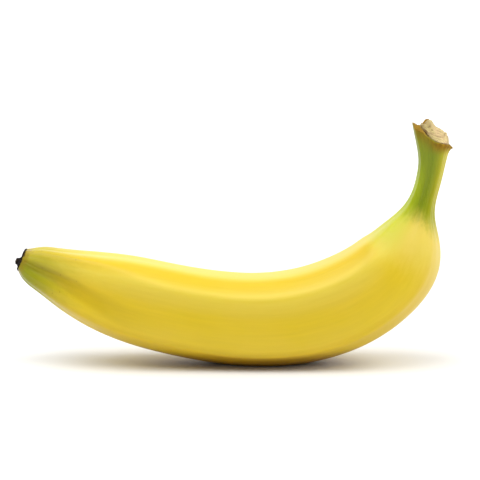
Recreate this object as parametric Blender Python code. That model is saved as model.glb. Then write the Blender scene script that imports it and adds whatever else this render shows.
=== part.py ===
# A single ripe banana, whole and unpeeled, resting on the belly of its curve.
#
# Frame: +X from the dry tip towards the stalk, +Z up, and the fruit curves in the XZ plane.
# The origin is on the floor, at the middle of the small flat spot that the fruit rests on.
# Lengths are in millimetres up to the last step, which scales the body to metres.

import math

import bmesh
import bpy
import numpy as np
from mathutils import Vector

MM = 0.001

# Stations along the fruit
# They follow the line through its middle, from the tip to the snapped end of the stalk.
# Each row is x, z, thickness in the plane of the curve, width across it, and the depth of
# the hollows between the ridges as a share of the radius.
STATIONS = (
    (-98.2, 43.3, 9.4, 9.0, 0.050),
    (-95.4, 41.9, 14.2, 13.4, 0.075),
    (-88.9, 39.1, 19.6, 18.8, 0.080),
    (-77.9, 34.5, 26.5, 25.2, 0.060),
    (-58.0, 27.7, 35.1, 33.4, 0.030),
    (-32.4, 21.4, 37.6, 35.6, 0.005),
    (-2.5, 17.8, 38.9, 36.8, 0.000),
    (20.0, 20.1, 39.6, 37.2, 0.000),
    (38.0, 26.7, 39.2, 37.0, 0.000),
    (51.1, 36.0, 37.1, 34.8, 0.010),
    (57.6, 43.9, 34.1, 31.0, 0.020),
    (62.1, 54.6, 24.2, 22.4, 0.035),
    (64.9, 64.0, 13.3, 13.4, 0.060),
    (68.4, 76.6, 10.2, 10.8, 0.070),
    (69.9, 88.2, 12.5, 12.6, 0.045),
    (69.8, 94.2, 16.3, 14.6, 0.020),
)
NECK_STATION = 11
RINGS_PER_GAP = 4
SIDES = 60

# Section of the peel
# Five faces with ridges between them, as angles round the fruit in degrees: 0 is the inner
# side of the curve, 90 the front and 180 the belly. Heights are shares of the radius.
FACES = (0.0, 80.0, 153.0, 207.0, 280.0)
HOLLOW_SPREADS = (20.0, 26.0, 15.0, 15.0, 26.0)
FACE_SHARPNESS = 4.6
RIDGES = (38.0, 122.0, 180.0, 238.0, 322.0)
RIDGE_HEIGHTS = (0.035, 0.030, 0.018, 0.030, 0.035)
RIDGE_SPREAD = 7.5

# Dry tip
# Rings from the top of the dried flower stub over a shallow dish and a rim out to the peel:
# radius, height above the end of the peel, and how far the ring is off centre to the belly.
TIP_PROFILE = (
    (0.5, 2.8, 0.8),
    (1.1, 2.4, 0.8),
    (1.35, 1.5, 0.7),
    (1.1, 0.4, 0.5),
    (1.6, -0.5, 0.3),
    (2.9, -0.4, 0.0),
    (3.7, 0.2, 0.0),
    (4.2, 0.7, 0.0),
    (4.8, 0.6, 0.0),
    (4.95, 0.15, 0.0),
)

# Snapped end of the stalk
# It is torn on a slant, highest at the inner back. Each uneven place of the tear is an
# angle, a height and a spread: a lip, the notch beside it and two fuller places in front.
TEAR_LEVEL = 0.5
TEAR_TO_INNER = 5.3
TEAR_TO_BACK = 1.7
TEAR_REACH = 9.0
UNEVEN_PLACES = (
    (278.0, 4.0, 16.0),
    (306.0, -1.2, 9.0),
    (52.0, 0.7, 20.0),
    (140.0, 1.4, 30.0),
)
FIBRE_HEIGHT = 0.2
FIBRES_ROUND = 11
# Rings from the edge of the skin over a groove to the middle of the raised core: share of
# the radius, how far the ring is drawn in at the inner side, and height above the tear.
TORN_PROFILE = (
    (1.00, 0.00, 0.0),
    (0.96, 0.02, 0.3),
    (0.91, 0.16, 0.1),
    (0.87, 0.26, -0.8),
    (0.82, 0.28, 0.9),
    (0.76, 0.26, 2.0),
    (0.52, 0.14, 2.3),
    (0.28, 0.06, 2.0),
    (0.08, 0.00, 2.2),
)
DRAWN_IN_SPREAD = 60.0

# Colours: linear red, green and blue, then roughness
DRY_TIP = ((0.02, 0.014, 0.01), 0.80)
PEEL = ((0.72, 0.52, 0.05), 0.45)
GREEN_STALK = ((0.30, 0.33, 0.02), 0.50)
TORN_FIBRE = ((0.62, 0.50, 0.27), 0.85)


def angle_between(a, b):
    """Signed difference of two angles in degrees, from -180 to 180."""
    return (a - b + 180.0) % 360.0 - 180.0


def bump(angle, centre, spread):
    """A soft bump, 1 at its centre, that fades over about two spreads."""
    return math.exp(-((angle_between(angle, centre) / spread) ** 2))


def natural_spline(knots, values):
    """The cubic curve through values at knots, with no bend at its two ends, as a function."""
    gap = np.diff(knots)
    slope = np.diff(values, axis=0) / gap[:, None]
    size = len(knots)
    matrix = np.eye(size)
    right = np.zeros_like(values)
    for i in range(1, size - 1):
        matrix[i, i - 1 : i + 2] = gap[i - 1], 2 * (gap[i - 1] + gap[i]), gap[i]
        right[i] = 6 * (slope[i] - slope[i - 1])
    bend = np.linalg.solve(matrix, right)

    def at(t):
        i = min(max(int(np.searchsorted(knots, t)) - 1, 0), size - 2)
        a = knots[i + 1] - t
        b = t - knots[i]
        cubic = (bend[i] * a**3 + bend[i + 1] * b**3) / (6 * gap[i])
        line_a = (values[i] / gap[i] - bend[i] * gap[i] / 6) * a
        line_b = (values[i + 1] / gap[i] - bend[i + 1] * gap[i] / 6) * b
        return cubic + line_a + line_b

    return at


class Fruit:
    """The surface of the fruit, as a point for each distance along it and angle round it."""

    def __init__(self):
        rows = np.array(STATIONS)
        steps = np.hypot(*np.diff(rows[:, :2], axis=0).T)
        self.knots = np.concatenate([[0.0], np.cumsum(steps)])
        self.row = natural_spline(self.knots, rows)

    def axes(self, along):
        """The centre, the direction along the fruit and the direction to its inner side."""
        near = 0.05
        before, here, after = (self.row(along + d) for d in (-near, 0.0, near))
        centre = Vector((here[0], 0.0, here[1]))
        forward = Vector((after[0] - before[0], 0.0, after[1] - before[1])).normalized()
        inward = Vector((-forward.z, 0.0, forward.x))
        return centre, forward, inward

    def radius(self, along, angle):
        """The outline of the section: a soft pentagon with hollow faces and narrow ridges."""
        hollow = self.row(along)[4]
        facing = [max(0.0, math.cos(math.radians(angle_between(angle, f)))) for f in FACES]
        reach = sum(c**FACE_SHARPNESS for c in facing) ** (-1.0 / FACE_SHARPNESS)
        for face, spread in zip(FACES, HOLLOW_SPREADS):
            reach -= hollow * bump(angle, face, spread)
        for ridge, height in zip(RIDGES, RIDGE_HEIGHTS):
            reach += height * bump(angle, ridge, RIDGE_SPREAD)
        return reach

    def skin(self, along, angle, share=1.0, lift=0.0):
        """A point at this share of the radius, moved along the fruit by lift."""
        centre, forward, inward = self.axes(along)
        thickness, width = self.row(along)[2:4]
        reach = self.radius(along, angle) * share
        turn = math.radians(angle)
        up = inward * (0.5 * thickness * reach * math.cos(turn))
        across = Vector((0.0, -1.0, 0.0)) * (0.5 * width * reach * math.sin(turn))
        return centre + up + across + forward * lift

    def tear(self, along, angle):
        """How far the skin near the end of the stalk is torn back or left standing."""
        fade = max(0.0, 1.0 - (self.knots[-1] - along) / TEAR_REACH) ** 2
        turn = math.radians(angle)
        height = TEAR_LEVEL + TEAR_TO_INNER * math.cos(turn) - TEAR_TO_BACK * math.sin(turn)
        for place, rise, spread in UNEVEN_PLACES:
            height += rise * bump(angle, place, spread)
        height += FIBRE_HEIGHT * math.sin(FIBRES_ROUND * turn)
        return height * fade


def tip_rings(fruit):
    """The dry end, from the top of the stub out to the edge of the peel."""
    end_radius = 0.5 * STATIONS[0][2]
    inward = fruit.axes(0.0)[2]

    def point(angle, radius, height, off_centre):
        return fruit.skin(0.0, angle, radius / end_radius, -height) - inward * off_centre

    return [lambda a, ring=ring: point(a, *ring) for ring in TIP_PROFILE]


def skin_rings(fruit, first, last):
    """The peel from one station up to another, which begins the next group of rings."""
    rings = []
    for low, high in zip(fruit.knots[first:last], fruit.knots[first + 1 : last + 1]):
        for i in range(RINGS_PER_GAP):
            along = low + (high - low) * i / RINGS_PER_GAP
            rings.append(lambda a, s=along: fruit.skin(s, a, 1.0, fruit.tear(s, a)))
    return rings


def torn_rings(fruit):
    """The torn face, from the edge of the skin over the groove to the middle of the core."""
    end = fruit.knots[-1]

    def point(angle, share, drawn_in, height):
        share -= drawn_in * bump(angle, 0.0, DRAWN_IN_SPREAD)
        return fruit.skin(end, angle, share, fruit.tear(end, angle) * share + height)

    return [lambda a, ring=ring: point(a, *ring) for ring in TORN_PROFILE]


def loft(groups):
    """A closed body: a disc on the first ring is extruded again and again to the next one.

    Each group of rings takes the next material.
    """
    steps = [(ring, material) for material, rings in enumerate(groups) for ring in rings]
    first_ring = steps[0][0]
    body = bmesh.new()
    angle = body.verts.layers.float.new("angle")
    disc = bmesh.ops.create_circle(body, cap_ends=True, segments=SIDES, radius=1.0)["verts"]
    for i, vert in enumerate(disc):
        vert[angle] = 360.0 * i / SIDES
        vert.co = first_ring(vert[angle])
    cap = body.faces[:]
    for ring, material in steps[1:]:
        edges = [edge for face in cap for edge in face.edges]
        moved = bmesh.ops.extrude_face_region(body, geom=cap + edges)["geom"]
        cap = [part for part in moved if isinstance(part, bmesh.types.BMFace)]
        new = [part for part in moved if isinstance(part, bmesh.types.BMVert)]
        for vert in new:
            vert.co = ring(vert[angle])
        for face in {face for vert in new for face in vert.link_faces}:
            face.material_index = material
    bmesh.ops.recalc_face_normals(body, faces=body.faces)
    return body


def flatten_belly(body):
    """Cuts the flat spot that the fruit rests on, at the height of the floor."""
    bmesh.ops.bisect_plane(
        body,
        geom=body.verts[:] + body.edges[:] + body.faces[:],
        plane_co=(0.0, 0.0, 0.0),
        plane_no=(0.0, 0.0, -1.0),
        clear_outer=True,
    )
    rim = [edge for edge in body.edges if edge.is_boundary]
    bmesh.ops.contextual_create(body, geom=rim, mat_nr=1)
    bmesh.ops.recalc_face_normals(body, faces=body.faces)


def add_material(name, colour, roughness):
    material = bpy.data.materials.new(name)
    material.use_nodes = True
    shader = material.node_tree.nodes["Principled BSDF"]
    shader.inputs["Base Color"].default_value = (*colour, 1.0)
    shader.inputs["Roughness"].default_value = roughness
    shader.inputs["Metallic"].default_value = 0.0
    material.diffuse_color = (*colour, 1.0)
    return material


def main():
    for thing in list(bpy.data.objects):
        bpy.data.objects.remove(thing)

    fruit = Fruit()
    peel = skin_rings(fruit, 0, NECK_STATION)
    stalk = skin_rings(fruit, NECK_STATION, len(STATIONS) - 1)
    body = loft((tip_rings(fruit), peel, stalk, torn_rings(fruit)))
    flatten_belly(body)
    bmesh.ops.scale(body, vec=(MM, MM, MM), verts=body.verts)

    mesh = bpy.data.meshes.new("banana")
    body.to_mesh(mesh)
    body.free()
    mesh.shade_smooth()
    mesh.materials.append(add_material("dry_tip", *DRY_TIP))
    mesh.materials.append(add_material("peel", *PEEL))
    mesh.materials.append(add_material("green_stalk", *GREEN_STALK))
    mesh.materials.append(add_material("torn_fibre", *TORN_FIBRE))

    banana = bpy.data.objects.new("banana", mesh)
    shelf = bpy.data.collections.new("Banana")
    bpy.context.scene.collection.children.link(shelf)
    shelf.objects.link(banana)


main()
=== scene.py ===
"""A ripe banana resting on the belly of its curve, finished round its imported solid.

Frame: +X from the dry tip towards the stalk, +Y away from the viewer, +Z up. The pieces are
worked out in millimetres, as distances along the fruit and angles round it, and each mesh is
scaled to metres once it is whole.
"""

import math

import bmesh
import bpy
import numpy as np
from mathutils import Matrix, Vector, noise


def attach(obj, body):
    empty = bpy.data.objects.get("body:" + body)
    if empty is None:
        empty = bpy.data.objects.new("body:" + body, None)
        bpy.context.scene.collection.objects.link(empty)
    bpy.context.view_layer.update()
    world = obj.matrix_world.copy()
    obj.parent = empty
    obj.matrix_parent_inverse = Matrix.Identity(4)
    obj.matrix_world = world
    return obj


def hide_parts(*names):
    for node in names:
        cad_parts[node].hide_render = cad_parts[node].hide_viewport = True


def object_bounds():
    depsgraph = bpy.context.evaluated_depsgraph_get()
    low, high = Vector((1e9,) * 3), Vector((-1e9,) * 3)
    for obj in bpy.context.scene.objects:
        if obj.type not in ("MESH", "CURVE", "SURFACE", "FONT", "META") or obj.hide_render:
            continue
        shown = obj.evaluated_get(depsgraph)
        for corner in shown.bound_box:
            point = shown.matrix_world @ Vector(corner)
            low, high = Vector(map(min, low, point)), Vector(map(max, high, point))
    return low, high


bl_info = {
    "name": "Banana finish",
    "version": (1, 0, 0),
    "blender": (4, 5, 0),
    "location": "3D View > Sidebar > Banana",
    "description": "Builds the peel, the torn stalk end and the dry tip of a banana",
    "category": "Object",
}

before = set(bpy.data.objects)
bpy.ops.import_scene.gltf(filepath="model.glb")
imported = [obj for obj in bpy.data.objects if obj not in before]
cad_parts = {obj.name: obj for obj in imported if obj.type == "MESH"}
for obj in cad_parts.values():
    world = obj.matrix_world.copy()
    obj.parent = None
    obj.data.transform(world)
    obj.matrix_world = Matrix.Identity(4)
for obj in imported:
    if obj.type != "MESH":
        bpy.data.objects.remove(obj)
CAD_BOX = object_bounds()

NODE = "banana"
BODY = "root"
MM = 0.001

# Stations along the fruit
# They follow the line through its middle, from the tip to the snapped end of the stalk: x, z,
# thickness in the plane of the curve, width across it, and the depth of the hollows between
# the ridges as a share of the radius.
STATIONS = (
    (-98.2, 43.3, 9.4, 9.0, 0.050),
    (-95.4, 41.9, 14.2, 13.4, 0.075),
    (-88.9, 39.1, 19.6, 18.8, 0.080),
    (-77.9, 34.5, 26.5, 25.2, 0.060),
    (-58.0, 27.7, 35.1, 33.4, 0.030),
    (-32.4, 21.4, 37.6, 35.6, 0.005),
    (-2.5, 17.8, 38.9, 36.8, 0.000),
    (20.0, 20.1, 39.6, 37.2, 0.000),
    (38.0, 26.7, 39.2, 37.0, 0.000),
    (51.1, 36.0, 37.1, 34.8, 0.010),
    (57.6, 43.9, 34.1, 31.0, 0.020),
    (62.1, 54.6, 24.2, 22.4, 0.035),
    (64.9, 64.0, 13.3, 13.4, 0.060),
    (68.4, 76.6, 10.2, 10.8, 0.070),
    (69.9, 88.2, 12.5, 12.6, 0.045),
    (69.8, 94.2, 16.3, 14.6, 0.020),
)
NECK_STATION = 11

# Section of the peel
# Angles go round the fruit in degrees: 0 is the inner side of the curve, 90 the front and 180
# the belly. Heights are shares of the radius.
FACES = (0.0, 80.0, 153.0, 207.0, 280.0)
HOLLOW_SPREADS = (20.0, 26.0, 15.0, 15.0, 26.0)
FACE_SHARPNESS = 4.6
RIDGES = (38.0, 122.0, 180.0, 238.0, 322.0)
RIDGE_HEIGHTS = (0.035, 0.030, 0.018, 0.030, 0.035)
RIDGE_SPREAD = 7.5

# Folds of the peel
# The two corners beside the inner face sit lower along the body, by an angle that fades over a
# spread. Folds sharpen the ridges: an angle, a height in mm and a spread, on both sides.
CORNERS = (56.0, 304.0)
CORNER_SHIFT = 15.0
CORNER_SPREAD = 22.0
FOLDS = (
    (57.0, 0.20, 10.0),
    (98.0, -0.12, 12.0),
    (116.0, 0.28, 8.0),
    (138.0, -0.30, 12.0),
)

# Waves of the skin in mm, across and along it: broad ones, and finer lengthwise ones
WAVE_SIZE = (17.0, 30.0)
FINE_WAVE_SIZE = (4.5, 55.0)

# How many ribs go round the stalk and how many furrows round the tip, coarse ones and fine ones
RIBS_ROUND = (13.0, 29.0)
FURROWS_ROUND = (17.0, 31.0)

# Rings of the skin are fine up to the first distance from an end, and full from the second
RINGS_WIDEN = (4.0, 26.0)

# Hollow along each side of the tip end
# Its middle drops from one angle to the other between two distances from the tip. Its painted
# shade fades in with nearness to the middle, as a cosine, and out between two other distances.
HOLLOW_ANGLES = (82.0, 102.0)
HOLLOW_ALONG = (14.0, 48.0)
HOLLOW_DEPTH = 0.62
HOLLOW_SPREAD = 14.0
HOLLOW_EDGE = (0.955, 0.998)
HOLLOW_FADE = (72.0, 14.0)
HOLLOW_SHADE_TONE = (0.62, 0.56, 0.20)

# Painted shade round the section, from its inner side to the belly, darker in the valley beside
# the inner face, on the front face and towards the belly: an angle, and the tone that the colour
# of the peel is multiplied by there
SECTION_SHADE_TONES = (
    (0.0, (1.0, 1.0, 1.0)),
    (22.0, (1.0, 1.0, 1.0)),
    (33.0, (0.97, 0.92, 0.45)),
    (46.0, (0.96, 0.94, 0.80)),
    (54.0, (1.0, 1.0, 1.0)),
    (72.0, (0.97, 0.96, 0.80)),
    (90.0, (0.95, 0.94, 0.75)),
    (103.0, (0.97, 0.97, 0.80)),
    (114.0, (1.0, 1.0, 1.0)),
    (124.0, (0.92, 0.88, 0.50)),
    (180.0, (0.88, 0.84, 0.50)),
)

# Painted highlight round the section, on the inner face and along the ridge below its corners: an
# angle and the share of its colour there
PAINTED_HIGHLIGHT_SHARES = (
    (0.0, 0.60),
    (21.0, 0.68),
    (31.0, 0.04),
    (44.0, 0.10),
    (56.0, 0.62),
    (64.0, 0.40),
    (78.0, 0.05),
    (180.0, 0.0),
)

# Patterns of the skin, in mm: spots across the fruit, to its front and along it
PATCH_SIZE = (16.0, 16.0, 30.0)
STREAK_SIZE = (1.2, 1.2, 28.0)
PORE_SIZE = (0.5, 0.5, 0.5)

# Painted shade on the belly, where the fruit rests on the floor: it fades between two heights,
# which streaks and patches shift, and between two cosines of the angle round the fruit
BELLY_HEIGHTS = (14.5, 8.0)
BELLY_STREAKS = 4.0
BELLY_PATCHES = 6.0
BELLY_SIDES = (-0.42, -0.58)
BELLY_SHADE_TONE = (0.54, 0.42, 0.13)

# Green of the stalk: where it starts above the neck, over how far it fades in, how much lower it
# starts on the outer side, and how far streaks shift it
GREEN_ABOVE_NECK = 5.7
GREEN_FADE = 11.0
GREEN_DROP = 4.0
STREAK_WANDER = 6.0

# Pale shoulder and lemon green: how far below the green they start and are full
SHOULDER_BELOW_GREEN = (20.0, 4.0)
LEMON_BELOW_GREEN = (22.0, -2.0)

# Lighter green inside, which is full well below the tear, and yellower green outside, which is
# full well above the neck
INNER_GREEN_BELOW_TEAR = (8.0, 22.0)
OUTER_GREEN_ABOVE_NECK = (6.0, 26.0)

# Distances from the tip over which its green, its drying skin and its dried edge fade, and its
# specks: their spacing, their edge as a share of it, and where they fade in
TIP_GREEN_ALONG = (4.5, 34.5)
DRYING_ALONG = (6.1, 3.7)
DRIED_ALONG = (1.35, 0.75)
SPECK_SPACING = 10.0 / 3.0
SPECK_EDGE = (0.13, 0.06)
SPECKS_ALONG = (34.0, 14.0)

# Patterns of the pith and the crust, in mm: fibre bundles, patches and flakes
PITH_FIBRE_SIZE = (1.8, 0.4, 0.9)
PITH_PATCH_SIZE = (1.0 / 0.35,) * 3
PITH_INNER_TONE = (0.72, 0.73, 0.62)
FLAKE_SIZE = (1.0 / 1.1,) * 3

# Tear across the stalk
# It is slanted, highest at the inner back. Uneven places are an angle, a height and a spread.
TEAR_LEVEL = 0.5
TEAR_TO_INNER = 5.3
TEAR_TO_BACK = 1.7
TEAR_REACH = 9.0
UNEVEN_PLACES = (
    (278.0, 4.0, 16.0),
    (306.0, -1.2, 9.0),
    (52.0, 0.7, 20.0),
    (140.0, 1.4, 30.0),
)
DRAWN_IN_SPREAD = 60.0

# Browned skin: how far below the lip it starts and is full, its share on the inner side, what the
# outer side adds, and a place at the front that adds more, as a share, an angle and a spread
BROWNED_BELOW = (7.0, 1.5)
BROWNED_INNER = 0.10
BROWNED_OUTER = 0.85
BROWNED_FRONT = (0.4, 105.0, 32.0)
# The same for the inner front of the lip, and for the fresh green place on the inside of the wall
BROWNED_CORNER = (0.5, 42.0, 26.0)
BROWNED_CORNER_BELOW = (3.5, 0.5)
FRESH_PLACE = (0.6, 84.0, 18.0)

# Ear of the wall that leans in over the pith: height in mm, angle and spread
EAR = (2.4, 30.0, 24.0)

# Top of the pith, in mm: how far it stays below the solid's top, how far it tilts down to the
# front, places that stand up, as a height, an angle and a spread, and the depth of its groove.
# A split opens its side: a share of the radius, an angle and a spread.
PITH_BELOW_TOP = 0.7
PITH_TILT = 1.6
PITH_OUTER_BACK = (1.3, 215.0, 42.0)
PITH_OUTER = (3.4, 184.0, 30.0)
PITH_GROOVE = 1.5
PITH_SPLIT = (0.16, 46.0, 15.0)

# Rings of the peel that the crust hides: share of the radius and depth
HIDDEN_RINGS = ((0.40, 1.4), (0.85, 1.2), (0.97, 0.3))

# Rings of the torn wall of the peel, from the outer skin over its lip and down its inside:
# share of the radius, how far it is drawn in at the inner side, height above the tear
WALL_PROFILE = (
    (1.000, 0.00, 0.00),
    (0.990, 0.00, 0.20),
    (0.970, 0.02, 0.30),
    (0.940, 0.08, 0.30),
    (0.910, 0.15, 0.22),
    (0.880, 0.21, 0.10),
    (0.860, 0.25, -0.20),
    (0.845, 0.26, -0.70),
    (0.835, 0.26, -1.40),
    (0.825, 0.26, -2.40),
    (0.815, 0.26, -3.60),
    (0.500, 0.10, -3.80),
    (0.100, 0.00, -3.80),
)

# Rings of the pith in the same way, from its hidden foot up its side and over its top
PITH_PROFILE = (
    (0.10, 0.00, -3.5),
    (0.50, 0.10, -3.5),
    (0.74, 0.25, -3.3),
    (0.77, 0.25, -2.2),
    (0.78, 0.25, -1.2),
    (0.79, 0.25, -0.5),
    (0.80, 0.25, 0.1),
    (0.80, 0.25, 0.6),
    (0.79, 0.25, 1.1),
    (0.77, 0.25, 1.5),
    (0.74, 0.24, 1.8),
    (0.70, 0.23, 2.0),
    (0.65, 0.21, 2.1),
    (0.60, 0.19, 2.1),
    (0.54, 0.16, 2.1),
    (0.48, 0.13, 2.1),
    (0.42, 0.11, 2.1),
    (0.36, 0.09, 2.1),
    (0.30, 0.07, 2.1),
    (0.24, 0.05, 2.1),
    (0.18, 0.03, 2.1),
    (0.12, 0.02, 2.1),
    (0.06, 0.00, 2.1),
    (0.02, 0.00, 2.1),
)

# Height of the flat spot on the belly, in mm, so that it doesn't lie in the plane of the floor
BELLY_GAP = 0.02

# Dry tip
# Rings of the crust, from hidden inside over its rim and dish to the top of the flower stub:
# share of the end's radius, height out from it, share of the stub's shift to the belly
CRUST_PROFILE = (
    (0.30, -1.6, 0.0),
    (0.80, -1.3, 0.0),
    (0.95, -0.9, 0.0),
    (1.01, -0.70, 0.0),
    (1.025, -0.45, 0.0),
    (1.03, -0.15, 0.0),
    (1.015, 0.15, 0.0),
    (0.98, 0.38, 0.0),
    (0.93, 0.48, 0.0),
    (0.87, 0.42, 0.0),
    (0.80, 0.28, 0.05),
    (0.72, 0.16, 0.1),
    (0.63, 0.20, 0.2),
    (0.55, 0.40, 0.4),
    (0.46, 0.75, 0.7),
    (0.38, 1.10, 0.9),
    (0.33, 1.35, 1.0),
    (0.305, 1.60, 1.0),
    (0.295, 1.80, 1.0),
    (0.285, 2.02, 1.0),
    (0.260, 2.25, 1.0),
    (0.205, 2.48, 1.0),
    (0.13, 2.62, 1.0),
    (0.05, 2.66, 1.0),
)

# Slant of the tip end: how far its inner side reaches out past the belly side, and how far
# along the fruit that fades
TIP_SLANT = 0.9
TIP_SLANT_REACH = 5.0

# Softboxes over the fruit: strength, then in degrees the lean to the camera, the turn to the
# side and the width
SOFTBOXES = (
    ("front_softbox", 0.76, 24.0, 0.0, 42.0),
    ("left_softbox", 1.36, 8.0, -25.0, 50.0),
    ("right_softbox", 1.35, 8.0, 50.0, 50.0),
)
FLOOR_WHITE = 0.82

# Camera: the point in mm that it looks at, and its sensor
CAMERA_AIM = (-8.7, 0.0, 51.85)
SENSOR_WIDTH = 36.0


def from_hex(text):
    """Linear red, green and blue from an sRGB colour such as #E8C22A."""
    parts = [int(text[i : i + 2], 16) / 255.0 for i in (1, 3, 5)]
    return tuple(p / 12.92 if p <= 0.04045 else ((p + 0.055) / 1.055) ** 2.4 for p in parts)


def colour_of(name, description, text):
    """A colour setting whose default is an sRGB colour."""
    return bpy.props.FloatVectorProperty(
        name=name, description=description, subtype="COLOR", default=from_hex(text)
    )


def angle_between(a, b):
    """Signed difference of two angles in degrees, from -180 to 180."""
    return (a - b + 180.0) % 360.0 - 180.0


def bump(angle, centre, spread):
    """A soft bump, 1 at its centre, that fades over about two spreads."""
    return math.exp(-((angle_between(angle, centre) / spread) ** 2))


def swell(angle, place):
    """A bump at a place that is given as its height, its angle and its spread."""
    height, centre, spread = place
    return height * bump(angle, centre, spread)


def smooth_step(low, high, value):
    """0 below low, 1 above high and a soft slope between them. Low may be the larger one."""
    t = min(max((value - low) / (high - low), 0.0), 1.0)
    return t * t * (3.0 - 2.0 * t)


def natural_spline(knots, values):
    """The cubic curve through values at knots, with no bend at its two ends, as a function."""
    gap = np.diff(knots)
    slope = np.diff(values, axis=0) / gap[:, None]
    size = len(knots)
    matrix = np.eye(size)
    right = np.zeros_like(values)
    for i in range(1, size - 1):
        matrix[i, i - 1 : i + 2] = gap[i - 1], 2 * (gap[i - 1] + gap[i]), gap[i]
        right[i] = 6 * (slope[i] - slope[i - 1])
    bend = np.linalg.solve(matrix, right)

    def at(t):
        i = min(max(int(np.searchsorted(knots, t)) - 1, 0), size - 2)
        a = knots[i + 1] - t
        b = t - knots[i]
        cubic = (bend[i] * a**3 + bend[i + 1] * b**3) / (6 * gap[i])
        line_a = (values[i] / gap[i] - bend[i] * gap[i] / 6) * a
        line_b = (values[i + 1] / gap[i] - bend[i + 1] * gap[i] / 6) * b
        return cubic + line_a + line_b

    return at


class Fruit:
    """The surface of the fruit, as a point for each distance along it and angle round it."""

    def __init__(self):
        rows = np.array(STATIONS)
        steps = np.hypot(*np.diff(rows[:, :2], axis=0).T)
        self.knots = np.concatenate([[0.0], np.cumsum(steps)])
        self.row = natural_spline(self.knots, rows)
        self.end = float(self.knots[-1])
        self.neck = float(self.knots[NECK_STATION])
        self.known = {}

    def section(self, along):
        """Centre, direction along the fruit, direction to its inner side, half sizes, hollow."""
        if along not in self.known:
            near = 0.05
            before, here, after = (self.row(along + d) for d in (-near, 0.0, near))
            centre = Vector((here[0], 0.0, here[1]))
            forward = Vector((after[0] - before[0], 0.0, after[1] - before[1])).normalized()
            inward = Vector((-forward.z, 0.0, forward.x))
            half = (0.5 * here[2], 0.5 * here[3])
            self.known[along] = (centre, forward, inward, half, float(here[4]))
        return self.known[along]

    def radius(self, along, angle):
        """The outline of the section: a soft pentagon with hollow faces and narrow ridges."""
        hollow = self.section(along)[4]
        facing = [max(0.0, math.cos(math.radians(angle_between(angle, f)))) for f in FACES]
        reach = sum(c**FACE_SHARPNESS for c in facing) ** (-1.0 / FACE_SHARPNESS)
        for face, spread in zip(FACES, HOLLOW_SPREADS):
            reach -= hollow * bump(angle, face, spread)
        for ridge, height in zip(RIDGES, RIDGE_HEIGHTS):
            reach += height * bump(angle, ridge, RIDGE_SPREAD)
        return reach

    def skin(self, along, angle, share=1.0, lift=0.0, rise=0.0):
        """A point at this share of the radius, moved along the fruit by lift and out by rise."""
        centre, forward, inward, half, _ = self.section(along)
        reach = self.radius(along, angle) * share
        turn = math.radians(angle)
        out = Vector((0.0, -math.sin(turn), 0.0)) + inward * math.cos(turn)
        up = inward * (half[0] * reach * math.cos(turn))
        across = Vector((0.0, -half[1] * reach * math.sin(turn), 0.0))
        return centre + up + across + forward * lift + out * rise

    def grown(self, along, angle, share=1.0):
        """The same point on the fruit laid out straight: across, to the front and along it."""
        half = self.section(along)[3]
        turn = math.radians(angle)
        radius = 0.5 * (half[0] + half[1]) * share
        return Vector((radius * math.cos(turn), radius * math.sin(turn), along))

    def slant(self, along, angle):
        """Lift of the skin near the tip: negative, so out past the end, most on the inner side."""
        fade = max(0.0, 1.0 - along / TIP_SLANT_REACH) ** 2
        return -TIP_SLANT * (0.5 + 0.5 * math.cos(math.radians(angle))) * fade

    def torn_point(self, angle, share, height, lift=0.0, rise=0.0):
        """A point of the torn end. Below the tear it follows the flare of the stalk."""
        along = self.end + min(height, 0.0)
        lift += self.tear(along, angle) * share + max(height, 0.0)
        return self.skin(along, angle, share, lift, rise)

    def tear(self, along, angle):
        """How far the skin near the end of the stalk is torn back or left standing."""
        fade = max(0.0, 1.0 - (self.end - along) / TEAR_REACH) ** 2
        turn = math.radians(angle)
        height = TEAR_LEVEL + TEAR_TO_INNER * math.cos(turn) - TEAR_TO_BACK * math.sin(turn)
        for place, rise, spread in UNEVEN_PLACES:
            height += rise * bump(angle, place, spread)
        return height * fade


FRUIT = Fruit()


def keep_inside(point):
    """The point, moved to the side of the solid's box where relief would take it outside."""
    low, high = CAD_BOX[0] / MM, CAD_BOX[1] / MM
    return Vector([min(max(p, a), b) for p, a, b in zip(point, low, high)])


def loft(profile, sides):
    """A closed body from rings: a disc on the first ring is extruded again and again.

    profile(step, angle) gives a point, its place on the straight fruit and a mask from 0 to 1,
    for each step in profile.steps.
    """
    body = bmesh.new()
    angle = body.verts.layers.float.new("angle")
    grown = body.verts.layers.float_vector.new("grown")
    mask = body.verts.layers.float.new("torn")

    def place(verts, step):
        for vert in verts:
            point, vert[grown], vert[mask] = profile(step, vert[angle])
            vert.co = keep_inside(point)

    disc = bmesh.ops.create_circle(body, cap_ends=True, segments=sides, radius=1.0)["verts"]
    for i, vert in enumerate(disc):
        vert[angle] = 360.0 * i / sides
    place(disc, profile.steps[0])
    cap = body.faces[:]
    for step in profile.steps[1:]:
        edges = [edge for face in cap for edge in face.edges]
        moved = bmesh.ops.extrude_face_region(body, geom=cap + edges)["geom"]
        cap = [part for part in moved if isinstance(part, bmesh.types.BMFace)]
        place([part for part in moved if isinstance(part, bmesh.types.BMVert)], step)
    bmesh.ops.recalc_face_normals(body, faces=body.faces)
    return body


def finish_piece(body, name, material):
    """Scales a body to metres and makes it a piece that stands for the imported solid."""
    bmesh.ops.scale(body, vec=(MM, MM, MM), verts=body.verts)
    mesh = bpy.data.meshes.new(name)
    body.to_mesh(mesh)
    body.free()
    mesh.shade_smooth()
    mesh.materials.append(material)
    piece = bpy.data.objects.new(name, mesh)
    bpy.context.scene.collection.objects.link(piece)
    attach(piece, BODY)
    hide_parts(NODE)
    return piece


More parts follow.
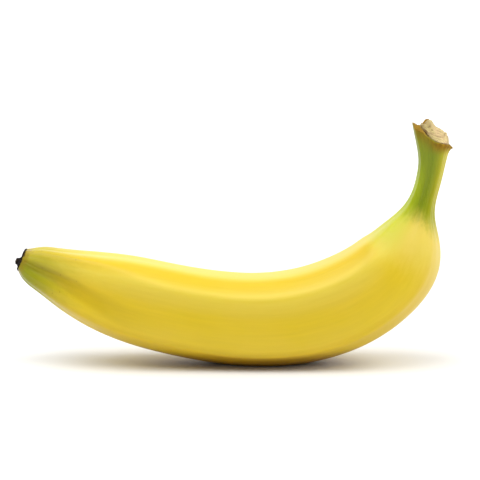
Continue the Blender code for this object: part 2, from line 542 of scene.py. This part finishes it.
def add_node(tree, kind, inputs=None, stops=None, **settings):
    """Adds a shader node, sets it up, and fills or links its sockets by name or number."""
    node = tree.nodes.new("ShaderNode" + kind)
    for name, value in settings.items():
        setattr(node, name, value)
    for name, value in (inputs or {}).items():
        if isinstance(value, bpy.types.NodeSocket):
            tree.links.new(value, node.inputs[name])
        else:
            node.inputs[name].default_value = value
    if stops:
        elements = node.color_ramp.elements
        while len(elements) < len(stops):
            elements.new(0.5)
        for element, (position, colour) in zip(elements, stops):
            element.position = position
            element.color = (*colour, 1.0)
    return node


def ramp(tree, value, start, end, low=0.0, high=1.0, smooth=True):
    """Turns a value that goes from start to end into one that goes from low to high."""
    sockets = {"Value": value, "From Min": start, "From Max": end, "To Min": low, "To Max": high}
    kind = "SMOOTHSTEP" if smooth else "LINEAR"
    return add_node(tree, "MapRange", sockets, interpolation_type=kind).outputs[0]


def calculate(tree, operation, *values):
    """One step of arithmetic on numbers and sockets."""
    return add_node(tree, "Math", dict(enumerate(values)), operation=operation).outputs[0]


def mix(tree, amount, first, second, blend_type="MIX"):
    """This amount of the second colour over the first, or blended with it."""
    sockets = {"Fac": amount}
    for name, colour in (("Color1", first), ("Color2", second)):
        linked = isinstance(colour, bpy.types.NodeSocket)
        sockets[name] = colour if linked else (*colour, 1.0)
    return add_node(tree, "MixRGB", sockets, blend_type=blend_type).outputs[0]


def grain(tree, place, size, detail, roughness=0.5):
    """Noise with spots of this size in mm, given for each axis."""
    scale = [1.0 / length for length in size]
    place = add_node(tree, "Mapping", {"Vector": place, "Scale": scale}).outputs[0]
    sockets = {"Vector": place, "Scale": 1.0, "Detail": detail, "Roughness": roughness}
    return add_node(tree, "TexNoise", sockets).outputs["Fac"]


def by_angle(tree, section, tones):
    """Colours round the section, from pairs of an angle and the colour there."""
    stops = [(0.5 + 0.5 * math.cos(math.radians(a)), tone) for a, tone in reversed(tones)]
    return add_node(tree, "ValToRGB", {"Fac": section}, stops=stops).outputs[0]


def add_relief(tree, shader, height, strength, depth):
    """Bump of this depth in mm on the surface of a shader."""
    sockets = {"Strength": strength, "Distance": depth * MM, "Height": height}
    relief = add_node(tree, "Bump", sockets).outputs[0]
    tree.links.new(relief, shader.inputs["Normal"])


def new_material(name):
    """A material with its node tree and its one shader, ready for more nodes."""
    material = bpy.data.materials.new(name)
    material.use_nodes = True
    return material, material.node_tree, material.node_tree.nodes["Principled BSDF"]


class PeelSettings(bpy.types.PropertyGroup):
    """Sizes and colours of the peel"""

    sides: bpy.props.IntProperty(
        name="Sides", description="Faces round the fruit", default=168, min=24, max=400
    )
    ring_gap: bpy.props.FloatProperty(
        name="Ring gap", description="Distance between rings of the body, mm", default=1.4
    )
    fine_ring_gap: bpy.props.FloatProperty(
        name="Fine ring gap", description="Distance between rings at both ends, mm", default=0.55
    )
    waviness: bpy.props.FloatProperty(
        name="Waviness", description="Height of the broad unevenness of the peel, mm", default=0.16
    )
    stalk_ribs: bpy.props.FloatProperty(
        name="Stalk ribs", description="Height of the fine ribs along the stalk, mm", default=0.11
    )
    tip_furrows: bpy.props.FloatProperty(
        name="Tip furrows", description="Height of the fine furrows at the tip, mm", default=0.06
    )
    ripe: colour_of("Ripe yellow", "Main colour of the peel", "#DCBF18")
    pale: colour_of("Pale yellow", "Lighter patches and the ridges", "#DEC02C")
    stalk_green: colour_of("Stalk green", "Unripe skin of the stalk", "#7D8C04")
    inner_green: colour_of("Inner green", "Lighter green of the stalk's inner side", "#A2B214")
    outer_green: colour_of("Outer green", "Yellower green of the stalk's outer side", "#BCB012")
    lemon: colour_of("Lemon", "Greenish yellow on the inner side of the neck", "#C4C61C")
    tip_green: colour_of("Tip green", "Last unripe skin near the tip", "#868C08")
    bruised: colour_of("Bruised brown", "Skin that browned where it was torn or dried", "#906E0E")
    # Colour of the painted highlight on the inner face and along the ridges beside it
    painted_highlight: colour_of(
        "Bloom", "Paler skin of the inner face and along the ridges beside it", "#E2CE5A"
    )
    shoulder: colour_of("Shoulder yellow", "Pale yellow just below the neck", "#DEC960")
    dried: colour_of("Dried skin", "Dried edge beside the crust of the tip", "#3A2410")


class TornSettings(bpy.types.PropertyGroup):
    """Sizes and colours of the torn pith"""

    sides: bpy.props.IntProperty(
        name="Sides", description="Faces round the pith", default=120, min=24, max=300
    )
    roughness: bpy.props.FloatProperty(
        name="Raggedness", description="Height of the torn fibres of the pith, mm", default=0.45
    )
    pith: colour_of("Pith", "Dry torn pith", "#C6B27A")
    pink: colour_of("Pinkish pith", "Drying patches", "#C9A585")
    fibre: colour_of("Pale fibres", "Cleanest fibres of the pith", "#DCC88E")
    # Dark brown of browned fibres, also used for the painted shade in the cracks
    browned_and_shaded: colour_of("Stained pith", "Browned fibres in the cracks", "#5E3E0C")


class TipSettings(bpy.types.PropertyGroup):
    """Sizes and colours of the dry tip"""

    sides: bpy.props.IntProperty(
        name="Sides", description="Faces round the tip", default=96, min=24, max=300
    )
    stub_shift: bpy.props.FloatProperty(
        name="Stub shift", description="How far the stub sits off centre, mm", default=1.3
    )
    crust: colour_of("Crust", "Dried black skin", "#17110D")
    worn_crust: colour_of("Worn crust", "Brown places where the crust is thin", "#4A3624")


class StageSettings(bpy.types.PropertyGroup):
    """Floor, light and camera"""

    floor_size: bpy.props.FloatProperty(
        name="Floor size", description="Side of the floor", default=14.0, unit="LENGTH"
    )
    distance: bpy.props.FloatProperty(
        name="Camera distance", description="From the fruit", default=0.7, unit="LENGTH"
    )
    elevation: bpy.props.FloatProperty(
        name="Camera elevation",
        description="Angle above the horizon",
        default=math.radians(10.0),
        subtype="ANGLE",
    )
    focal_length: bpy.props.FloatProperty(
        name="Focal length", description="On a 36 mm sensor, in mm", default=127.7
    )
    backdrop: bpy.props.FloatProperty(
        name="Backdrop light", description="Brightness of the room behind the fruit", default=1.2
    )
    room_front: bpy.props.FloatProperty(
        name="Front light", description="Brightness of the room before the fruit", default=0.1
    )
    softboxes: bpy.props.FloatProperty(
        name="Softboxes", description="Strength of the three softboxes", default=1.06
    )


def peel_steps(settings):
    """Distances along the fruit for the rings of the skin, closer together at both ends."""
    steps = []
    along = 0.0
    while along < FRUIT.end:
        steps.append(along)
        to_end = min(along, FRUIT.end - along)
        share = smooth_step(*RINGS_WIDEN, to_end)
        along += settings.fine_ring_gap + (settings.ring_gap - settings.fine_ring_gap) * share
    return steps


class PeelProfile:
    """The skin from under the crust of the tip to the torn lip of the stalk and inside it."""

    def __init__(self, settings):
        self.settings = settings
        hidden = [(self.under_crust, ring) for ring in HIDDEN_RINGS]
        skin = [(self.skin, along) for along in peel_steps(settings)]
        wall = [(self.wall, ring) for ring in WALL_PROFILE]
        self.steps = hidden + skin + wall

    def __call__(self, step, angle):
        part, ring = step
        return part(ring, angle)

    def under_crust(self, ring, angle):
        """The end of the skin, closed where the crust hides it."""
        share, depth = ring
        point = FRUIT.skin(0.0, angle, share, depth + FRUIT.slant(0.0, angle))
        return point, FRUIT.grown(0.0, angle, share), 0.0

    def skin(self, along, angle):
        """The outer skin, which browns towards the torn lip."""
        below = FRUIT.end - along
        fade = max(0.0, 1.0 - below / TEAR_REACH) ** 2
        lift = FRUIT.tear(along, angle) + self.ragged(angle) * fade
        lift += FRUIT.slant(along, angle)
        point = FRUIT.skin(along, angle, 1.0, lift, self.relief(along, angle))
        outer = 0.5 - 0.5 * math.cos(math.radians(angle))
        share = BROWNED_INNER + BROWNED_OUTER * outer + swell(angle, BROWNED_FRONT)
        browned = smooth_step(*BROWNED_BELOW, below) * min(share, 1.0)
        browned += swell(angle, BROWNED_CORNER) * smooth_step(*BROWNED_CORNER_BELOW, below)
        return point, FRUIT.grown(along, angle), browned

    def wall(self, ring, angle):
        """The lip and the inside of the torn wall."""
        share, drawn_in, height = ring
        share -= drawn_in * bump(angle, 0.0, DRAWN_IN_SPREAD)
        ear = swell(angle, EAR) * smooth_step(0.99, 0.68, share)
        above = smooth_step(-0.6, 0.0, height)
        lift = self.ragged(angle) * above + ear * (0.3 + 0.7 * above)
        point = FRUIT.torn_point(angle, share, height, lift)
        fresh = swell(angle, FRESH_PLACE) * smooth_step(-1.5, 0.0, height)
        return point, FRUIT.grown(FRUIT.end, angle, share), 1.0 - fresh

    def relief(self, along, angle):
        """Height of the natural unevenness of the skin, in mm."""
        place = FRUIT.grown(along, angle)
        height = self.waves(along, place) + self.folds(along, angle)
        turn = math.radians(angle)
        sway = 1.3 * noise.noise(Vector((place.x / 6.0, place.y / 6.0, place.z / 26.0)))
        on_stalk = smooth_step(FRUIT.neck - 4.0, FRUIT.neck + 12.0, along)
        coarse, fine = RIBS_ROUND
        ribs = math.sin(coarse * turn + sway) + 0.6 * math.sin(fine * turn + 2.0 * sway + 1.0)
        height += self.settings.stalk_ribs * ribs * on_stalk
        at_tip = smooth_step(0.0, 3.0, along) * (1.0 - smooth_step(4.0, 30.0, along))
        coarse, fine = FURROWS_ROUND
        furrows = math.sin(coarse * turn + 2.0 * sway) + 0.7 * math.sin(fine * turn - sway)
        height += self.settings.tip_furrows * furrows * at_tip
        return height + self.tip_hollows(along, angle)

    def waves(self, along, place):
        """Broad and lengthwise waves that fade out at both ends."""
        (across, long), (fine_across, fine_long) = WAVE_SIZE, FINE_WAVE_SIZE
        broad = noise.noise(Vector((place.x / across, place.y / across, place.z / long)))
        fine = Vector((place.x / fine_across, place.y / fine_across, place.z / fine_long + 7.3))
        body = smooth_step(0.0, 14.0, along) * smooth_step(0.0, 10.0, FRUIT.end - along)
        return self.settings.waviness * (broad + 0.35 * noise.noise(fine)) * body

    def folds(self, along, angle):
        """The lower corners of the body and the folds beside its ridges."""
        on_body = smooth_step(20.0, 60.0, along) * smooth_step(0.0, 26.0, FRUIT.neck - along)
        front, back = (bump(angle, corner, CORNER_SPREAD) for corner in CORNERS)
        turned = angle + CORNER_SHIFT * (back - front) * on_body
        out = FRUIT.radius(along, turned) - FRUIT.radius(along, angle)
        height = FRUIT.section(along)[3][0] * out
        wander = 4.0 * noise.noise(Vector((along / 40.0, 3.0 if angle < 180.0 else 9.0, 0.5)))
        for place, rise, spread in FOLDS:
            for side in (place, 360.0 - place):
                height += rise * bump(angle, side + wander, spread) * on_body
        return height

    def tip_hollows(self, along, angle):
        """The hollow along each side of the tip end, under a low ridge."""
        valley = smooth_step(1.0, 10.0, along) * (1.0 - smooth_step(26.0, 75.0, along))
        start, end = HOLLOW_ALONG
        drop = min(max((along - start) / (end - start), 0.0), 1.0)
        middle = HOLLOW_ANGLES[0] + (HOLLOW_ANGLES[1] - HOLLOW_ANGLES[0]) * drop
        height = 0.0
        for side, ridge in zip((middle, 360.0 - middle), CORNERS):
            height -= HOLLOW_DEPTH * bump(angle, side, HOLLOW_SPREAD) * valley
            height += 0.08 * bump(angle, ridge, 10.0) * valley
        return height

    def ragged(self, angle):
        """Unevenness of the torn lip, in mm."""
        turn = math.radians(angle)
        ring = Vector((math.cos(turn), math.sin(turn), 0.0))
        return 0.32 * noise.noise(ring * 4.2) + 0.26 * noise.noise(ring * 13.0)


class PithProfile:
    """The torn pith, a ragged core that stands proud of the skin."""

    def __init__(self, settings):
        self.settings = settings
        self.steps = PITH_PROFILE
        self.top = CAD_BOX[1].z / MM - PITH_BELOW_TOP

    def __call__(self, step, angle):
        share, drawn_in, height = step
        split = smooth_step(0.35, 0.75, share)
        share -= drawn_in * bump(angle, 0.0, DRAWN_IN_SPREAD)
        share -= swell(angle, PITH_SPLIT) * split
        turn = math.radians(angle)
        place = FRUIT.grown(FRUIT.end, angle, share)
        on_top = smooth_step(0.3, 1.8, height)
        lift = -PITH_TILT * share * math.sin(turn) + swell(angle, PITH_OUTER_BACK) * share
        lift += swell(angle, PITH_OUTER) * share**2

        # A groove across the top, and painted shade in it, in the crack beside it and down the
        # side below the top.
        groove = math.exp(-(((place.y - 2.3 - 0.25 * place.x) / 0.5) ** 2))
        groove *= smooth_step(-5.0, -3.0, place.x) * smooth_step(2.5, 0.5, place.x)
        lift -= PITH_GROOVE * groove
        crack_shade = max(groove, bump(angle, 40.0, 30.0) * split, 0.8 * smooth_step(0.9, -0.4, height))

        # Torn fibres that run across the top, in three sizes, and an uneven side.
        torn = noise.noise(Vector((place.x / 3.2, place.y / 0.9, 1.7)))
        torn += 0.7 * noise.noise(Vector((place.x / 1.2, place.y / 0.5, 5.1)))
        torn += 0.4 * noise.noise(Vector((place.x / 0.5, place.y / 0.35, 9.4)))
        lift = on_top * (lift + self.settings.roughness * torn)
        rim = Vector((math.cos(turn), math.sin(turn), 0.0))
        side = 0.3 * noise.noise(rim * 7.0 + Vector((0.0, 0.0, height / 4.0)))
        side += 0.15 * noise.noise(rim * 19.0 + Vector((0.0, 0.0, height / 4.0)))
        point = FRUIT.torn_point(angle, share, height, lift, side * smooth_step(0.3, 0.7, share))

        # The highest fibres bend over softly under the top of the solid.
        over = point.z - self.top
        if over > 0.0:
            point.z = self.top + 0.65 * (1.0 - math.exp(-over / 1.2))
        return point, place + Vector((0.0, 0.0, height)), crack_shade


class CrustProfile:
    """The dried end of the tip with its rim, its dish and the stub of the flower."""

    def __init__(self, settings):
        self.settings = settings
        self.steps = CRUST_PROFILE

    def __call__(self, step, angle):
        share, height, shifted = step
        turn = math.radians(angle)
        rim = Vector((math.cos(turn), math.sin(turn), 0.0))
        ragged = 0.45 * noise.noise(rim * 3.1) + 0.40 * noise.noise(rim * 8.0)
        edge = smooth_step(0.80, 1.0, share)
        lumps = noise.noise(rim * share * 5.0 + Vector((0.0, 0.0, height * 1.1)))
        lumps += 0.6 * noise.noise(rim * share * 13.0 + Vector((0.0, 0.0, height * 2.9)))
        inward = FRUIT.section(0.0)[2]
        lift = -height + (1.3 * ragged * edge if height < 0.0 else -0.5 * abs(ragged) * edge)
        lift += FRUIT.slant(0.0, angle) * share
        point = FRUIT.skin(0.0, angle, share, lift, 0.3 * lumps)
        point -= inward * self.settings.stub_shift * shifted
        return point, FRUIT.grown(0.0, angle, share) + Vector((0.0, 0.0, -height)), edge


def peel_material(settings):
    """Waxy peel that grew smooth: satin gloss, fine lengthwise streaks and green at both ends."""
    material, tree, shader = new_material("waxy_banana_peel")
    grown = add_node(tree, "Attribute", attribute_name="grown").outputs["Vector"]
    torn = add_node(tree, "Attribute", attribute_name="torn").outputs["Fac"]
    along = add_node(tree, "SeparateXYZ", {0: grown}).outputs["Z"]
    patches = grain(tree, grown, PATCH_SIZE, detail=3.0)
    streaks = grain(tree, grown, STREAK_SIZE, detail=4.0, roughness=0.6)
    wander = calculate(tree, "MULTIPLY_ADD", streaks, STREAK_WANDER, along)

    colour = mix(tree, ramp(tree, patches, 0.25, 0.75), settings.ripe, settings.pale)
    shade = ramp(tree, streaks, 0.25, 0.75, 0.96, 1.03, smooth=False)
    colour = mix(tree, 1.0, colour, shade, "MULTIPLY")

    # Cosine and sine of the angle round the fruit: 1 on its inner side, and 1 at its front.
    flat = add_node(tree, "VectorMath", {0: grown, 1: (1.0, 1.0, 0.0)}, operation="MULTIPLY")
    flat = add_node(tree, "VectorMath", {0: flat.outputs[0]}, operation="NORMALIZE")
    inner, front, _ = add_node(tree, "SeparateXYZ", {0: flat.outputs[0]}).outputs

    # Painted highlight on the inner face and beside its corners, and painted shade round the
    # section.
    section = calculate(tree, "MULTIPLY_ADD", inner, 0.5, 0.5)
    painted_highlight = by_angle(tree, section, [(angle, (share,) * 3) for angle, share in PAINTED_HIGHLIGHT_SHARES])
    uneven = ramp(tree, streaks, 0.3, 0.7, 0.8, 1.1, smooth=False)
    painted_highlight = calculate(tree, "MULTIPLY", painted_highlight, uneven)
    colour = mix(tree, painted_highlight, colour, settings.painted_highlight)
    colour = mix(tree, 1.0, colour, by_angle(tree, section, SECTION_SHADE_TONES), "MULTIPLY")

    # Painted shade on the belly near the floor, darker and browner where the fruit rests, with an
    # uneven edge.
    place = add_node(tree, "TexCoord").outputs["Object"]
    height_up = add_node(tree, "SeparateXYZ", {0: place}).outputs["Z"]
    for pattern, reach in ((streaks, BELLY_STREAKS), (patches, BELLY_PATCHES)):
        height_up = calculate(tree, "MULTIPLY_ADD", pattern, reach * MM, height_up)
    low_down = ramp(tree, height_up, *(height * MM for height in BELLY_HEIGHTS))
    under = calculate(tree, "MULTIPLY", ramp(tree, inner, *BELLY_SIDES), low_down)
    colour = mix(tree, under, colour, BELLY_SHADE_TONE, "MULTIPLY")

    # Pale yellow of the shoulder, and lemon green that runs down the inner side of the neck.
    low = FRUIT.neck + GREEN_ABOVE_NECK
    shoulder = [low - below for below in SHOULDER_BELOW_GREEN]
    shoulder = ramp(tree, wander, *shoulder, high=0.65)
    colour = mix(tree, shoulder, colour, settings.shoulder)
    lemon = ramp(tree, inner, 0.1, 0.9)
    upwards = ramp(tree, wander, *(low - below for below in LEMON_BELOW_GREEN))
    lemon = calculate(tree, "MULTIPLY", lemon, upwards)
    colour = mix(tree, lemon, colour, settings.lemon)

    # Green of the stalk, with a soft uneven boundary that sits lower on its outer side.
    outer = ramp(tree, inner, 0.1, -0.9)
    lower = calculate(tree, "MULTIPLY_ADD", outer, GREEN_DROP, wander)
    stalk = ramp(tree, lower, low, low + GREEN_FADE)
    colour = mix(tree, stalk, colour, stalk_colour(tree, settings, along, inner, outer))

    # Green of the tip, less on the inner side, and painted shade in the hollow beside it.
    tip = ramp(tree, wander, *TIP_GREEN_ALONG, 0.95, 0.0)
    outward = ramp(tree, inner, 0.8, -0.1, 0.45, 1.0, smooth=False)
    tip = calculate(tree, "MULTIPLY", tip, outward)
    colour = mix(tree, tip, colour, settings.tip_green)
    hollow = hollow_shade_mask(tree, along, inner, front)
    colour = mix(tree, hollow, colour, HOLLOW_SHADE_TONE, "MULTIPLY")

    # Specks about 0.6 mm wide near the tip.
    specks = {"Vector": grown, "Scale": 1 / SPECK_SPACING}
    specks = add_node(tree, "TexVoronoi", specks).outputs["Distance"]
    specks = ramp(tree, specks, *SPECK_EDGE, high=0.55)
    specked = ramp(tree, along, *SPECKS_ALONG, smooth=False)
    specks = calculate(tree, "MULTIPLY", specks, specked)
    colour = mix(tree, specks, colour, settings.bruised)

    # Skin that dried beside the crust of the tip: brown at first, nearly black at its edge.
    drying = ramp(tree, wander, *DRYING_ALONG, high=0.5)
    colour = mix(tree, drying, colour, settings.bruised)
    edge = calculate(tree, "MULTIPLY_ADD", streaks, 2.0, along)
    edge = calculate(tree, "MULTIPLY_ADD", inner, -0.35, edge)
    dried = ramp(tree, edge, *DRIED_ALONG, high=0.92)
    colour = mix(tree, dried, colour, settings.dried)

    # Browned torn lip, uneven where its fibres parted.
    fibres = ramp(tree, streaks, 0.3, 0.7, 0.72, 1.2, smooth=False)
    colour = mix(tree, torn, colour, mix(tree, 1.0, settings.bruised, fibres, "MULTIPLY"))
    tree.links.new(colour, shader.inputs["Base Color"])

    # Satin gloss, broken by the streaks, and a dull torn lip.
    gloss = ramp(tree, streaks, 0.3, 0.7, 0.35, 0.45, smooth=False)
    gloss = ramp(tree, torn, 0.0, 1.0, gloss, 0.85, smooth=False)
    tree.links.new(gloss, shader.inputs["Roughness"])

    # Wax over the skin, and a little light that soaks into the flesh and comes back yellow.
    shader.inputs["IOR"].default_value = 1.45
    shader.inputs["Specular IOR Level"].default_value = 0.36
    shader.inputs["Subsurface Weight"].default_value = 0.10
    shader.inputs["Subsurface Radius"].default_value = (1.0, 0.55, 0.12)
    shader.inputs["Subsurface Scale"].default_value = 3.0 * MM

    # Pores, and the fibres under the skin.
    pores = grain(tree, grown, PORE_SIZE, detail=2.0)
    height = calculate(tree, "MULTIPLY_ADD", pores, 0.5, streaks)
    add_relief(tree, shader, height, strength=0.6, depth=0.05)
    return material


def stalk_colour(tree, settings, along, inner, outer):
    """Green of the stalk: lighter on its inner side below the tear, yellower on the outer one."""
    lighter = ramp(tree, inner, 0.25, 0.95)
    below_tear = [FRUIT.end - below for below in INNER_GREEN_BELOW_TEAR]
    below_tear = ramp(tree, along, *below_tear, low=0.15)
    lighter = calculate(tree, "MULTIPLY", lighter, below_tear)
    colour = mix(tree, lighter, settings.stalk_green, settings.inner_green)
    above_neck = [FRUIT.neck + above for above in OUTER_GREEN_ABOVE_NECK]
    above_neck = ramp(tree, along, *above_neck, low=0.45)
    yellower = calculate(tree, "MULTIPLY", outer, above_neck)
    return mix(tree, yellower, colour, settings.outer_green)


def hollow_shade_mask(tree, along, inner, front):
    """Mask of the painted shade in the hollow along each side of the tip end. It drops towards the
    belly.
    """
    middle = ramp(tree, along, *HOLLOW_ALONG, *map(math.radians, HOLLOW_ANGLES), smooth=False)
    sideways = calculate(tree, "ABSOLUTE", front)
    sideways = calculate(tree, "MULTIPLY", sideways, calculate(tree, "SINE", middle))
    cosine = calculate(tree, "COSINE", middle)
    nearness = calculate(tree, "MULTIPLY_ADD", inner, cosine, sideways)
    near_tip = ramp(tree, along, *HOLLOW_FADE, high=0.56)
    return calculate(tree, "MULTIPLY", ramp(tree, nearness, *HOLLOW_EDGE), near_tip)


def pith_material(settings):
    """Dry pith, torn by hand: matt pale fibres, some browned, with painted shade in the cracks."""
    material, tree, shader = new_material("torn_dry_pith")
    grown = add_node(tree, "Attribute", attribute_name="grown").outputs["Vector"]
    cracks = add_node(tree, "Attribute", attribute_name="torn").outputs["Fac"]
    fibres = grain(tree, grown, PITH_FIBRE_SIZE, detail=4.0, roughness=0.65)
    stops = ((0.34, settings.browned_and_shaded), (0.46, settings.pith), (0.66, settings.fibre))
    colour = add_node(tree, "ValToRGB", {"Fac": fibres}, stops=stops).outputs[0]

    # Pinkish patches, and a greyer inner side.
    patches = grain(tree, grown, PITH_PATCH_SIZE, detail=1.0)
    patches = ramp(tree, patches, 0.45, 0.62, high=0.35)
    colour = mix(tree, patches, colour, settings.pink)
    inner = add_node(tree, "SeparateXYZ", {0: grown}).outputs["X"]
    inner = ramp(tree, inner, -3.0, 2.5, high=0.8)
    colour = mix(tree, inner, colour, PITH_INNER_TONE, "MULTIPLY")

    # Painted shade in the groove, the crack and down the side, in the dark brown.
    cracks = calculate(tree, "MULTIPLY", cracks, 0.85)
    colour = mix(tree, cracks, colour, settings.browned_and_shaded)
    tree.links.new(colour, shader.inputs["Base Color"])
    shader.inputs["Roughness"].default_value = 0.85
    add_relief(tree, shader, fibres, strength=0.8, depth=0.25)
    return material


def crust_material(settings):
    """Dried flower end: black brittle crust with brown where it has worn thin."""
    material, tree, shader = new_material("dried_black_crust")
    grown = add_node(tree, "Attribute", attribute_name="grown").outputs["Vector"]
    flakes = grain(tree, grown, FLAKE_SIZE, detail=5.0, roughness=0.6)
    stops = ((0.50, settings.crust), (0.72, settings.worn_crust))
    colour = add_node(tree, "ValToRGB", {"Fac": flakes}, stops=stops).outputs[0]
    tree.links.new(colour, shader.inputs["Base Color"])
    shader.inputs["Roughness"].default_value = 0.8
    shader.inputs["Specular IOR Level"].default_value = 0.2
    add_relief(tree, shader, flakes, strength=0.7, depth=0.2)
    return material


def floor_material():
    """Matt white painted board: no gloss, so that only the soft contact shadow shows."""
    material, tree, shader = new_material("matt_white_board")
    shader.inputs["Base Color"].default_value = (FLOOR_WHITE, FLOOR_WHITE, FLOOR_WHITE, 1.0)
    shader.inputs["Roughness"].default_value = 0.9
    shader.inputs["Specular IOR Level"].default_value = 0.1
    return material


class BANANA_OT_add_peel(bpy.types.Operator):
    """Adds the peel with the green stalk and its torn lip"""

    bl_idname = "banana.add_peel"
    bl_label = "Add peel"

    def execute(self, context):
        settings = context.scene.banana_peel
        body = loft(PeelProfile(settings), settings.sides)
        flatten_belly(body)
        finish_piece(body, "peel", peel_material(settings))
        return {"FINISHED"}


def flatten_belly(body):
    """Cuts the flat spot that the fruit rests on, just above the floor."""
    bmesh.ops.bisect_plane(
        body,
        geom=body.verts[:] + body.edges[:] + body.faces[:],
        plane_co=(0.0, 0.0, BELLY_GAP),
        plane_no=(0.0, 0.0, -1.0),
        clear_outer=True,
    )
    rim = [edge for edge in body.edges if edge.is_boundary]
    bmesh.ops.contextual_create(body, geom=rim)
    bmesh.ops.recalc_face_normals(body, faces=body.faces)


class BANANA_OT_add_pith(bpy.types.Operator):
    """Adds the torn pith that stands in the snapped end of the stalk"""

    bl_idname = "banana.add_pith"
    bl_label = "Add torn pith"

    def execute(self, context):
        settings = context.scene.banana_torn
        body = loft(PithProfile(settings), settings.sides)
        finish_piece(body, "torn_pith", pith_material(settings))
        return {"FINISHED"}


class BANANA_OT_add_tip(bpy.types.Operator):
    """Adds the dried end of the tip with the stub of the flower"""

    bl_idname = "banana.add_tip"
    bl_label = "Add dry tip"

    def execute(self, context):
        settings = context.scene.banana_tip
        body = loft(CrustProfile(settings), settings.sides)
        finish_piece(body, "dry_tip", crust_material(settings))
        return {"FINISHED"}


class BANANA_OT_add_stage(bpy.types.Operator):
    """Adds the white floor, the soft light and the camera"""

    bl_idname = "banana.add_stage"
    bl_label = "Add stage"

    def execute(self, context):
        settings = context.scene.banana_stage
        scene = context.scene
        board = bmesh.new()
        bmesh.ops.create_grid(board, x_segments=1, y_segments=1, size=0.5 * settings.floor_size)
        mesh = bpy.data.meshes.new("floor")
        board.to_mesh(mesh)
        board.free()
        mesh.materials.append(floor_material())
        floor = bpy.data.objects.new("floor", mesh)
        scene.collection.objects.link(floor)

        room = bpy.data.worlds.new("white_room")
        room.use_nodes = True
        tree = room.node_tree
        sky = tree.nodes["Background"]
        sky.inputs["Color"].default_value = (1.0, 1.0, 1.0, 1.0)
        direction = add_node(tree, "TexCoord").outputs["Generated"]
        behind = add_node(tree, "SeparateXYZ", {0: direction}).outputs["Y"]
        fade = (settings.room_front, settings.backdrop)
        strength = ramp(tree, behind, -1.0, 1.0, *fade, smooth=False)
        tree.links.new(strength, sky.inputs["Strength"])
        scene.world = room

        for name, strength, tilt, turn, width in SOFTBOXES:
            light = bpy.data.lights.new(name, "SUN")
            light.energy = settings.softboxes * strength
            light.angle = math.radians(width)
            lamp = bpy.data.objects.new(name, light)
            lamp.rotation_euler = (math.radians(tilt), math.radians(turn), 0.0)
            scene.collection.objects.link(lamp)

        lens = bpy.data.cameras.new("camera")
        lens.sensor_width = SENSOR_WIDTH
        lens.lens = settings.focal_length
        camera = bpy.data.objects.new("camera", lens)
        aim = Vector(CAMERA_AIM) * MM
        tilt = settings.elevation
        camera.location = aim + Vector((0.0, -math.cos(tilt), math.sin(tilt))) * settings.distance
        camera.rotation_euler = (math.pi / 2 - tilt, 0.0, 0.0)
        scene.collection.objects.link(camera)
        scene.camera = camera
        scene.view_settings.view_transform = "Standard"
        return {"FINISHED"}


class BANANA_PT_panel(bpy.types.Panel):
    """Lists the pieces of the banana"""

    bl_label = "Banana"
    bl_space_type = "VIEW_3D"
    bl_region_type = "UI"
    bl_category = "Banana"

    def draw(self, context):
        for operator, group in PIECES:
            box = self.layout.box()
            settings = getattr(context.scene, group)
            for name in settings.__annotations__:
                box.prop(settings, name)
            box.operator(operator.bl_idname)


PIECES = (
    (BANANA_OT_add_stage, "banana_stage"),
    (BANANA_OT_add_peel, "banana_peel"),
    (BANANA_OT_add_pith, "banana_torn"),
    (BANANA_OT_add_tip, "banana_tip"),
)
GROUPS = {
    "banana_stage": StageSettings,
    "banana_peel": PeelSettings,
    "banana_torn": TornSettings,
    "banana_tip": TipSettings,
}


def register():
    """Adds the settings, the operators and the panel."""
    for name, group in GROUPS.items():
        bpy.utils.register_class(group)
        setattr(bpy.types.Scene, name, bpy.props.PointerProperty(type=group))
    for operator, _ in PIECES:
        bpy.utils.register_class(operator)
    bpy.utils.register_class(BANANA_PT_panel)


def unregister():
    """Takes them out again."""
    bpy.utils.unregister_class(BANANA_PT_panel)
    for operator, _ in reversed(PIECES):
        bpy.utils.unregister_class(operator)
    for name, group in reversed(GROUPS.items()):
        delattr(bpy.types.Scene, name)
        bpy.utils.unregister_class(group)


def main():
    """Builds the whole scene."""
    register()
    bpy.ops.banana.add_stage()
    bpy.ops.banana.add_peel()
    bpy.ops.banana.add_pith()
    bpy.ops.banana.add_tip()


if __name__ == "__main__":
    main()
